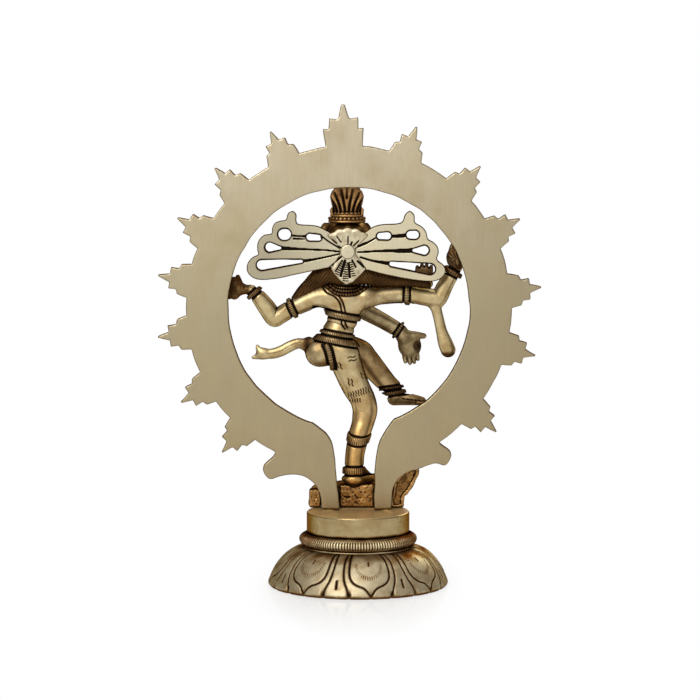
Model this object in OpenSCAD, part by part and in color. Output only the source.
// Brass nataraja statue: a four-armed dancing figure on a dwarf, inside a ring of flames,
// on a turned and chased lotus pedestal.
// Millimetres, +Z up, origin at the centre of the pedestal's foot.
// The figure faces -Y, and its own right hand is on the -X side.

/* [Pedestal] */
// Radius of the lotus skirt near its foot
skirt_r = 38; // [36:0.2:40]
// Height of the lotus skirt up to the neck
skirt_h = 16.2; // [15:0.2:18]
// Wall thickness of the hollow skirt
skirt_wall = 3; // [2.4:0.2:3.6]
// Outer radius of the ribbed collar
collar_r = 24.9; // [24:0.1:25.5]
// Number of grooves cut around the collar
collar_ribs = 48; // [36:4:60]
// Radius of the plain drum
drum_r = 21.7; // [21:0.1:22]
// Height of the drum's side above the collar
drum_h = 8.8; // [8:0.2:10]

/* [Flame ring] */
// Radius of the round opening
hole_r = 50.9; // [50:0.1:52]
// Radius of the plain band's outer edge
band_r = 68.5; // [67:0.1:70]
// Height of the opening's centre above the drum
ring_rise = 85.4; // [84:0.2:87]
// Thickness of the plate
ring_t = 4; // [3.4:0.2:4.2]
// Sideways lean of the plate, in degrees
ring_lean = 2.2; // [0:0.2:3]

/* [Hair fan] */
// Thickness of the pierced hair plate
fan_t = 2.4; // [2:0.1:2.6]
// Thickness of the rosette on its back
rosette_t = 1.2; // [0.8:0.1:1.6]
// Radius of the rivet's head
rivet_r = 2.6; // [2.2:0.1:3]

/* [Fastening] */
// Radius of the threaded stud that holds the pedestal together
stud_r = 2.5; // [2:0.1:3]
// Radial clearance of the stud in the skirt's deck
stud_gap = 0.25; // [0.2:0.05:0.4]

/* [Hidden] */
$fn = 96;

// Pedestal
neck_r = 22.4;
foot_chamfer = 0.7;
skirt_low_z = 1.5;
deck_z = skirt_h - skirt_wall;
petal_count = 16;
petal_notch_r = 1.1;
collar_h = 6.2;
rib_groove_r = 0.45;
spigot_r = 17;
fit_gap = 0.05;
drum_z = skirt_h + collar_h;
drum_top = drum_z + drum_h;
dish_r = 15;
dish_y = 6;
dish_depth = 0.5;
tang_depth = 5;
tang_half = [8.4, 13.8];
nut_h = 4;
nut_r = 4.8;
washer_r = 6;
washer_t = 1.2;
stud_end = 1.6;
stud_top = drum_top - 4;

// The ring's flat back. The plate lies in front of it.
ring_back_y = -4;
ring_foot_x = 0.6;

// Ring outline, as [half width, height]. Flames start at the band, the rest at the drum's top.
flame_half = [[7.2, -1.5], [7.1, 0], [6.3, 3.9], [4.4, 4.7], [4.5, 8.1], [1.8, 8.1], [0.3, 12.9]];
top_flame_half = [
    [7.9, -1.5], [7.9, 0], [8.6, 7.1], [6.2, 6.9], [6.1, 11.5], [3.2, 11], [2.3, 11.4], [0.8, 17.2]
];
gap_left = [[7.1, -3], [7.8, 13], [8.6, 22], [9, 26.5], [9.9, 30], [11.8, 33], [14.4, 35.2], [17.8, 38]];
gap_right = [
    [7.1, -3], [8.1, 13], [9.2, 22], [10.2, 26.5], [11.6, 30], [13.8, 33.4], [16.2, 36.3], [17.8, 38]
];
leg_half = [[14.8, -3], [14.8, 0], [15.4, 6.7], [16.7, 10.3], [19, 13], [22.5, 15.3], [26.6, 16]];
lobe_half = [[31.7, 15.4], [36.2, 14.3], [38.8, 17.2], [38.5, 20.3], [33.6, 25], [33, 34], [0, 40]];
right_lobe_shift = [2, 3];
// Turn of each flame from the top, in degrees
top_flame_turn = -0.5;
left_flames = [21.5, 41.5, 60, 78, 96.5, 117, 136.5];
right_flames = [22.5, 45, 64.5, 86, 106.5, 132];

// Hair fan, as [distance from the rivet, height] on each side
fan_x = 4.4;
fan_back_y = -3.6;
fan_rise = 109.4;
fan_left = [
    [7, 8], [12, 10.5], [16, 11.2], [20.5, 11.5], [21.5, 13], [21.5, 15.5], [23, 17], [25, 16],
    [25.8, 13.5], [28, 13], [30.5, 12], [31.7, 9.8], [32, 7.4], [35, 6.8], [37, 5.2], [38, 3], [38, 0.5],
    [37.6, -1.2], [40, -2.5], [42, -5], [42.2, -8.2], [40, -11], [36, -12], [30, -11.5], [22, -9.8],
    [8.5, -7]
];
fan_right = [
    [7.2, 8], [11, 10.5], [15, 11.4], [20.5, 11.6], [23, 12.6], [24, 15.3], [26, 17], [28, 15.3],
    [28.4, 12.2], [31.2, 10.4], [33, 8.3], [33.8, 5.4], [36, 4], [37.8, 2], [38.3, -0.6], [37.8, -3.4],
    [40.5, -5.7], [41.2, -8.7], [39, -11.6], [34.4, -12.7], [26, -11.9], [17, -10], [8.5, -8]
];
// Each opening runs from one rounded end to the other: [end, end, radius, radius]
left_slots = [
    [[12.2, 5.8], [15.8, 6], 1.2, 1.4], [[26.2, 7.2], [26.8, 7.2], 2.3, 2.3],
    [[28.6, 1.4], [32.7, 1.7], 0.6, 1.9], [[19.5, -4.1], [36, -5.7], 0.6, 2.1]
];
right_slots = [
    [[13.6, 6.4], [16.7, 6.5], 1.3, 1.5], [[26.4, 7], [28.2, 7], 1.6, 1.7],
    [[28, 0.4], [32.1, 0.5], 0.7, 1.9], [[18.6, -5.3], [34.6, -7.4], 0.9, 2.1]
];
tassel_half = [[0, -14], [4, -10.8], [8.2, -7.2], [5, 0], [0, 4]];
scallop_ring_r = 6;
scallop_r = 2.6;
shank_r = 1.2;
shank_depth = 5;
rivet_dome = 1.2;

// Figure. Every ball is [x, y, z, radius], with z measured from the drum's top.
ball_fn = 16;
braze = 0.05;
crown_z = 121.2;

torso_balls = [
    [4.9, -11.8, 99, 3.4], [5, -10.9, 92.5, 4.4], [5.3, -10.2, 87.5, 6.2],
    [6.6, -10, 78.5, 5.2], [9.5, -9.5, 70.5, 6]
];
shoulder_balls = [[13.4, -10.6, 90.4, 4.8], [5, -10.9, 90.6, 4.6], [-3.6, -10.6, 90.2, 4.8]];
hip_balls = [[15.8, -9.6, 67, 5.5], [9.5, -9.5, 67.6, 6.2], [5, -9.6, 66.4, 6.6]];
standing_leg_balls = [
    [5, -9.6, 66.4, 6.6], [2.2, -12.4, 55, 5.8], [-3.4, -15.5, 42.2, 5], [-1.2, -13.2, 34, 4.2],
    [1.8, -10, 21.8, 3.9], [1.9, -9.2, 15.4, 4]
];
standing_foot_balls = [[1.6, -8.8, 13.6, 3.2], [-3.4, -13.6, 13.4, 3.1], [-8.6, -19, 12.4, 2]];
raised_leg_balls = [
    [14.6, -13.6, 67.4, 5.9], [8, -19, 68.6, 5.9], [-2.8, -24.4, 66.4, 5.4], [-9.4, -23.4, 57, 4.6],
    [-16.8, -22, 48.6, 3.2]
];
raised_foot_balls = [[-14, -22, 45, 2.8], [-21.4, -21.4, 45, 2.6], [-29.4, -20.6, 44.2, 2.2]];

rear_left_balls = [
    [13.4, -10.6, 90.4, 4.8], [24, -11.4, 86, 4.2], [35.6, -12.6, 79.8, 3.7], [40, -12.4, 85.6, 3.2],
    [44.4, -11.6, 91.4, 2.5]
];
rear_left_hand = [[46.2, -11.4, 92.8, 2.6], [51, -12.2, 94.8, 2.9], [56, -12.4, 96.2, 2.3]];
rear_right_balls = [
    [-3.6, -10.6, 90.2, 4.8], [-12, -11, 88.8, 4.2], [-20.6, -11.2, 90, 3.7], [-34.4, -12.4, 88.6, 3.8],
    [-37.4, -12.2, 94.4, 3.3], [-40.1, -11.4, 99.8, 2.5]
];
rear_right_hand = [[-40.6, -11.2, 102, 2.8], [-41.4, -11.2, 108, 3]];
front_left_balls = [
    [13, -14.6, 90.2, 4.4], [7, -21, 88.4, 4.1], [2.4, -25.4, 85.6, 3.7], [-9, -25.6, 80.2, 3.2],
    [-18.4, -25, 75, 2.9]
];
front_left_hand = [[-19.8, -25, 72.6, 3], [-21.4, -25, 67, 2.8], [-22.4, -25, 61.6, 1.5]];
front_left_thumb = [[-20.4, -25, 73, 2.2], [-27.8, -25, 72.4, 1.5]];
front_right_balls = [
    [-4.4, -14.8, 91.6, 4.2], [-15, -17, 92, 3.8], [-27, -18.4, 90.6, 3.5], [-27.4, -24, 94.6, 2.6]
];
front_right_hand = [[-27.5, -24.8, 96, 2.7], [-27.5, -25.4, 99.4, 3.1], [-27.4, -25.4, 102.6, 1.9]];

head_balls = [[4.2, -14.3, 112.6, 8.2], [4.2, -15.6, 105, 5.6]];
left_locks = [[9, -9.6, 104, 2.6], [17.4, -9.4, 100, 3.2], [26, -9.4, 96.4, 2.8]];
right_locks = [[0, -9.6, 102, 2.6], [-10, -9.4, 98.6, 2.2], [-27, -9.4, 97.2, 1.8]];

sash_balls = [
    [20.6, -9, 69.8, 2.4], [27.8, -9, 67.8, 2.2], [34.5, -9, 65.6, 2.2], [40.6, -9, 66.6, 2]
];
sash_tails = [[42.4, -9, 69.6, 1], [40.6, -9, 66.6, 1.6], [44.4, -9, 64.6, 1]];
scarf_balls = [[-31.6, -12, 86, 1.8], [-34.4, -11.4, 76, 2.6], [-38, -11, 68, 2.8]];

dwarf_body_balls = [
    [14, -14, 5.4, 4.6], [8, -14, 5.6, 5], [0, -14, 5.6, 5.1], [-8, -14, 5.4, 5], [-14, -14, 7.4, 3.4]
];
dwarf_leg_balls = [[13, -13, 5, 4.2], [18.6, -13.4, 6.2, 2.7], [17.6, -15, 2.2, 2.1]];
dwarf_arm_balls = [[-10, -17.6, 5.6, 2.6], [-15, -19, 2.6, 2.2], [-8.4, -19.4, 2.2, 1.9]];
dwarf_head_balls = [[-17, -13.4, 9, 4.2], [-20.6, -13, 14.4, 3.8]];

// Props held in the two rear hands
bowl_at = [58.4, -12.4, 97];
bowl_r = 4;
bowl_h = 3;
flame_r = 2.8;
flame_h = 7;
drum_at = [-45.4, -12.4, 109.6];
hourglass_r = 3.4;
hourglass_waist = 1.3;
hourglass_half = 4.6;

// Crown, as [half width, height] above the head
crown_at = [4.7, -13.4];
crown_band_r = 7;
crown_band_h = 2.4;
feather_t = 5;
feather_half = [[4.8, 0], [5.6, 5], [7.1, 10.5], [6.2, 13], [3.4, 15.4], [1, 16]];

// ---- shared shapes ----

// The same points on the other side of the centre line, walked the other way
function mirrored(pts) = [for (i = [len(pts) - 1:-1:0]) [-pts[i][0], pts[i][1]]];

function both_sides(half) = concat(half, mirrored(half));

function shifted(pts, by) = [for (p = pts) [p[0] + by[0], p[1] + by[1]]];

// A smooth curve through the points, in n steps from each one to the next
function smoothed(pts, n = 4) = [
    for (i = [0:len(pts) - 2])
        let (
            a = pts[max(i - 1, 0)],
            b = pts[i],
            c = pts[i + 1],
            d = pts[min(i + 2, len(pts) - 1)]
        )
            for (t = [0:1 / n:1 - 0.5 / n])
                b + t / 2 * ((c - a) + t * (2 * a - 5 * b + 4 * c - d) + t * t * (3 * b - 3 * c + d - a)),
    pts[len(pts) - 1]
];

// A chain of balls, each joined to the next; grow makes it fatter all over
module balls(list, grow = 0) {
    for (i = [0:len(list) - 2])
        hull() {
            for (b = [list[i], list[i + 1]])
                translate([b[0], b[1], b[2]])
                    sphere(r = b[3] + grow, $fn = ball_fn);
        }
}

// Outline of a round-ended slot from p to q, with its own radius at each end
function slot(p, q, p_r, q_r) =
    let (d = q - p, turn = atan2(d[1], d[0]))
        concat(
            [for (a = [-90:15:90]) q + q_r * [cos(turn + a), sin(turn + a)]],
            [for (a = [90:15:270]) p + p_r * [cos(turn + a), sin(turn + a)]]
        );

module brass(shade = 0) {
    color([0.78 - shade, 0.66 - shade, 0.42 - shade])
        children();
}

module on_drum() {
    translate([0, 0, drum_top])
        children();
}

// Stands a flat outline up with its back face at y and its thickness towards the front
module upright(x, y, z, t) {
    translate([x, y, z])
        rotate([90, 0, 0])
            linear_extrude(t)
                children();
}

// ---- pedestal ----

// Bulging skirt from its widest point up to the neck, t inside the outer surface
function skirt_curve(t) = [
    for (i = [0:14])
        let (s = i / 14)
            [neck_r - t + (skirt_r - neck_r) * pow(1 - pow(s, 1.15), 0.465),
             skirt_low_z + (skirt_h - t - skirt_low_z) * s]
];

module lotus_base() {
    brass(0.06)
        difference() {
            rotate_extrude()
                polygon(concat([[0, 0], [skirt_r - foot_chamfer, 0]], skirt_curve(0), [[0, skirt_h]]));
            rotate_extrude()
                polygon(concat(
                    [[0, -1], [skirt_r - skirt_wall, -1]],
                    skirt_curve(skirt_wall),
                    [[0, deck_z]]
                ));
            // The nicks between the petals' tips
            for (i = [0:petal_count - 1])
                rotate([0, 0, 360 * (i + 0.5) / petal_count])
                    translate([skirt_r + 0.4, 0, -1])
                        cylinder(r = petal_notch_r, h = 3.4, $fn = 24);
            translate([0, 0, deck_z - 1])
                cylinder(r = stud_r + stud_gap, h = skirt_wall + 2);
        }
}

function collar_profile() = concat(
    [[spigot_r + fit_gap, 0]],
    [for (a = [-90:15:90]) collar_h / 2 * [cos(a), sin(a) + 1] + [collar_r - collar_h / 2, 0]],
    [[spigot_r + fit_gap, collar_h]]
);

module ribbed_collar() {
    brass(0.1)
        difference() {
            translate([0, 0, skirt_h])
                rotate_extrude()
                    polygon(collar_profile());
            for (i = [0:collar_ribs - 1])
                rotate([0, 0, 360 * i / collar_ribs])
                    translate([collar_r + 0.1, 0, skirt_h + 1.2])
                        cylinder(r = rib_groove_r, h = collar_h - 2.4, $fn = 16);
        }
}

// The two tongues under the ring's feet, and their slots when gap is above zero
module tangs(top, gap) {
    for (side = [-1, 1])
        translate([
            ring_foot_x + side * (tang_half[0] + tang_half[1]) / 2,
            ring_back_y - ring_t / 2,
            (top - tang_depth) / 2
        ])
            cube([tang_half[1] - tang_half[0] + 2 * gap, ring_t + 2 * gap, top + tang_depth], center = true);
}

module plinth_drum() {
    brass(0.04)
        difference() {
            union() {
                translate([0, 0, drum_z])
                    cylinder(r = drum_r, h = drum_h);
                translate([0, 0, skirt_h])
                    cylinder(r = spigot_r, h = collar_h + 1);
            }
            // A shallow scoop in the top
            translate([0, dish_y, drum_top - dish_depth])
                cylinder(r = dish_r, h = 2);
            on_drum()
                tangs(1, fit_gap);
            translate([0, 0, skirt_h - 1])
                cylinder(r = stud_r + fit_gap, h = stud_top - skirt_h + 1.5);
        }
}

module clamp_stud() {
    color([0.62, 0.6, 0.56])
        translate([0, 0, deck_z - washer_t - nut_h - stud_end])
            cylinder(r = stud_r, h = stud_top - deck_z + washer_t + nut_h + stud_end);
}

module clamp_washer() {
    color([0.66, 0.64, 0.6])
        difference() {
            translate([0, 0, deck_z - washer_t])
                cylinder(r = washer_r, h = washer_t);
            translate([0, 0, deck_z - washer_t - 1])
                cylinder(r = stud_r + stud_gap, h = washer_t + 2);
        }
}

module clamp_nut() {
    color([0.6, 0.58, 0.54])
        difference() {
            translate([0, 0, deck_z - washer_t - nut_h])
                cylinder(r = nut_r, h = nut_h, $fn = 6);
            translate([0, 0, deck_z - washer_t - nut_h - 1])
                cylinder(r = stud_r + fit_gap, h = nut_h + 2);
        }
}

// ---- flame ring ----

module flame(half) {
    translate([0, band_r])
        polygon(both_sides(half));
}

module leg_and_lobe(lobe) {
    polygon(concat([[0, -3]], smoothed(concat(leg_half, lobe))));
}

module ring_outline() {
    difference() {
        union() {
            translate([0, ring_rise]) {
                circle(r = band_r, $fn = 180);
                rotate(-top_flame_turn)
                    flame(top_flame_half);
                for (turn = left_flames)
                    rotate(-turn)
                        flame(flame_half);
                for (turn = right_flames)
                    rotate(turn)
                        flame(flame_half);
            }
            leg_and_lobe(lobe_half);
            mirror([1, 0])
                leg_and_lobe(shifted(lobe_half, right_lobe_shift));
        }
        translate([0, ring_rise])
            circle(r = hole_r, $fn = 180);
        polygon(concat(smoothed(gap_left), mirrored(smoothed(gap_right))));
    }
}

module flame_ring() {
    brass()
        on_drum()
            union() {
                difference() {
                    translate([ring_foot_x, 0, 0])
                        rotate([0, ring_lean, 0])
                            upright(0, ring_back_y, 0, ring_t)
                                ring_outline();
                    // The feet are cut level with the drum's top
                    translate([0, 0, -10])
                        cube([60, 60, 20], center = true);
                }
                tangs(1, 0);
            }
}

// ---- figure ----

module figure_shape(grow) {
    balls(torso_balls, grow);
    balls(shoulder_balls, grow);
    balls(hip_balls, grow);
    balls(standing_leg_balls, grow);
    balls(standing_foot_balls, grow);
}

module rear_arm_shape(arm, hand, grow) {
    balls(arm, grow);
    balls(hand, grow);
}

module figure_body() {
    brass(0.02)
        on_drum()
            difference() {
                figure_shape(0);
                translate([fan_x, fan_back_y, fan_rise])
                    cube([40, 2 * fan_t + 2 * braze, 30], center = true);
            }
}

module dwarf() {
    brass(0.2)
        on_drum()
            difference() {
                union() {
                    balls(dwarf_body_balls);
                    balls(dwarf_leg_balls);
                    balls(dwarf_arm_balls);
                    balls(dwarf_head_balls);
                }
                figure_shape(braze);
                translate([0, 0, -10 + braze / 2])
                    cube([80, 80, 20 + braze], center = true);
                // Clear of the ring's legs
                translate([0, ring_back_y, 10])
                    cube([80, 2 * ring_t + 2 * braze, 60], center = true);
            }
}

module raised_leg() {
    brass(0.02)
        on_drum()
            difference() {
                union() {
                    balls(raised_leg_balls);
                    balls(raised_foot_balls);
                }
                figure_shape(braze);
            }
}

module flame_bowl_shape(grow) {
    translate(bowl_at)
        rotate_extrude($fn = 32)
            polygon([
                [0, -grow], [bowl_r * 0.5 + grow, -grow], [bowl_r + grow, bowl_h],
                [flame_r, bowl_h + 0.2], [flame_r, bowl_h + 0.3 * flame_h],
                [flame_r * 0.45, bowl_h + 0.7 * flame_h], [0.1, bowl_h + flame_h], [0, bowl_h + flame_h]
            ]);
}

module hand_drum_shape(grow) {
    r = hourglass_r + grow;
    w = hourglass_waist + grow;
    l = hourglass_half + grow;
    translate(drum_at)
        rotate([0, 90, 0])
            rotate_extrude($fn = 32)
                polygon([[0, -l], [r, -l], [r, -l + 0.8], [w, 0], [r, l - 0.8], [r, l], [0, l]]);
}

module rear_left_arm() {
    brass(0.04)
        on_drum()
            difference() {
                rear_arm_shape(rear_left_balls, rear_left_hand, 0);
                figure_shape(braze);
                flame_bowl_shape(braze);
            }
}

module rear_right_arm() {
    brass(0.04)
        on_drum()
            difference() {
                rear_arm_shape(rear_right_balls, rear_right_hand, 0);
                figure_shape(braze);
                hand_drum_shape(braze);
            }
}

module front_left_arm() {
    brass(0.12)
        on_drum()
            difference() {
                union() {
                    balls(front_left_balls);
                    balls(front_left_hand);
                    balls(front_left_thumb);
                }
                figure_shape(braze);
                rear_arm_shape(rear_left_balls, rear_left_hand, braze);
            }
}

module front_right_arm() {
    brass(0.12)
        on_drum()
            difference() {
                union() {
                    balls(front_right_balls);
                    balls(front_right_hand);
                }
                figure_shape(braze);
                rear_arm_shape(rear_right_balls, rear_right_hand, braze);
            }
}

module head() {
    brass(0.02)
        on_drum()
            difference() {
                union() {
                    balls(head_balls);
                    balls(left_locks);
                    balls(right_locks);
                }
                figure_shape(braze);
                rear_arm_shape(rear_left_balls, rear_left_hand, braze);
                rear_arm_shape(rear_right_balls, rear_right_hand, braze);
                translate([0, 0, crown_z + 10 - braze])
                    cube([80, 80, 20], center = true);
                translate([0, fan_back_y - fan_t + 10 - braze, fan_rise])
                    cube([90, 20, 60], center = true);
                translate([fan_x, fan_back_y, fan_rise])
                    rotate([90, 0, 0])
                        cylinder(r = shank_r + fit_gap, h = fan_t + shank_depth + 0.3, $fn = 24);
            }
}

module crown() {
    brass(0.14)
        on_drum()
            union() {
                translate([crown_at[0], crown_at[1], crown_z])
                    cylinder(r = crown_band_r, h = crown_band_h);
                upright(crown_at[0], crown_at[1] + feather_t / 2, crown_z + crown_band_h, feather_t)
                    polygon(both_sides(feather_half));
            }
}

// ---- hair fan, rosette and rivet ----

module fan_outline() {
    difference() {
        polygon(concat(smoothed(fan_left), mirrored(smoothed(fan_right))));
        for (s = left_slots)
            polygon(slot(s[0], s[1], s[2], s[3]));
        mirror([1, 0])
            for (s = right_slots)
                polygon(slot(s[0], s[1], s[2], s[3]));
        circle(r = shank_r + fit_gap, $fn = 32);
    }
}

module hair_fan() {
    brass()
        on_drum()
            upright(fan_x, fan_back_y, fan_rise, fan_t)
                fan_outline();
}

module rosette_outline() {
    difference() {
        union() {
            polygon(both_sides(tassel_half));
            for (a = [30:30:150])
                rotate(a)
                    translate([scallop_ring_r, 0])
                        circle(r = scallop_r, $fn = 32);
            circle(r = scallop_ring_r, $fn = 48);
        }
        circle(r = shank_r + fit_gap, $fn = 32);
    }
}

module rosette() {
    brass()
        on_drum()
            upright(fan_x, fan_back_y + rosette_t, fan_rise, rosette_t)
                rosette_outline();
}

module fan_rivet() {
    shank = rosette_t + fan_t + shank_depth;
    brass(0.02)
        on_drum()
            translate([fan_x, fan_back_y + rosette_t, fan_rise])
                rotate([90, 0, 0])
                    rotate_extrude()
                        polygon([
                            [0, shank], [shank_r, shank], [shank_r, 0], [rivet_r, 0],
                            [rivet_r * 0.8, -rivet_dome * 0.7], [rivet_r * 0.4, -rivet_dome],
                            [0, -rivet_dome]
                        ]);
}

// ---- scarves and props ----

module hip_sash() {
    brass(0.02)
        on_drum()
            difference() {
                union() {
                    balls(sash_balls);
                    balls(sash_tails);
                }
                figure_shape(braze);
            }
}

module arm_scarf() {
    brass(0.04)
        on_drum()
            difference() {
                balls(scarf_balls);
                rear_arm_shape(rear_right_balls, rear_right_hand, braze);
            }
}

module hand_drum() {
    brass(0.06)
        on_drum()
            hand_drum_shape(0);
}

module flame_bowl() {
    brass(0.06)
        on_drum()
            flame_bowl_shape(0);
}

lotus_base();
ribbed_collar();
plinth_drum();
clamp_stud();
clamp_washer();
clamp_nut();
flame_ring();
dwarf();
figure_body();
raised_leg();
rear_left_arm();
rear_right_arm();
front_left_arm();
front_right_arm();
head();
crown();
hair_fan();
rosette();
fan_rivet();
hip_sash();
arm_scarf();
hand_drum();
flame_bowl();
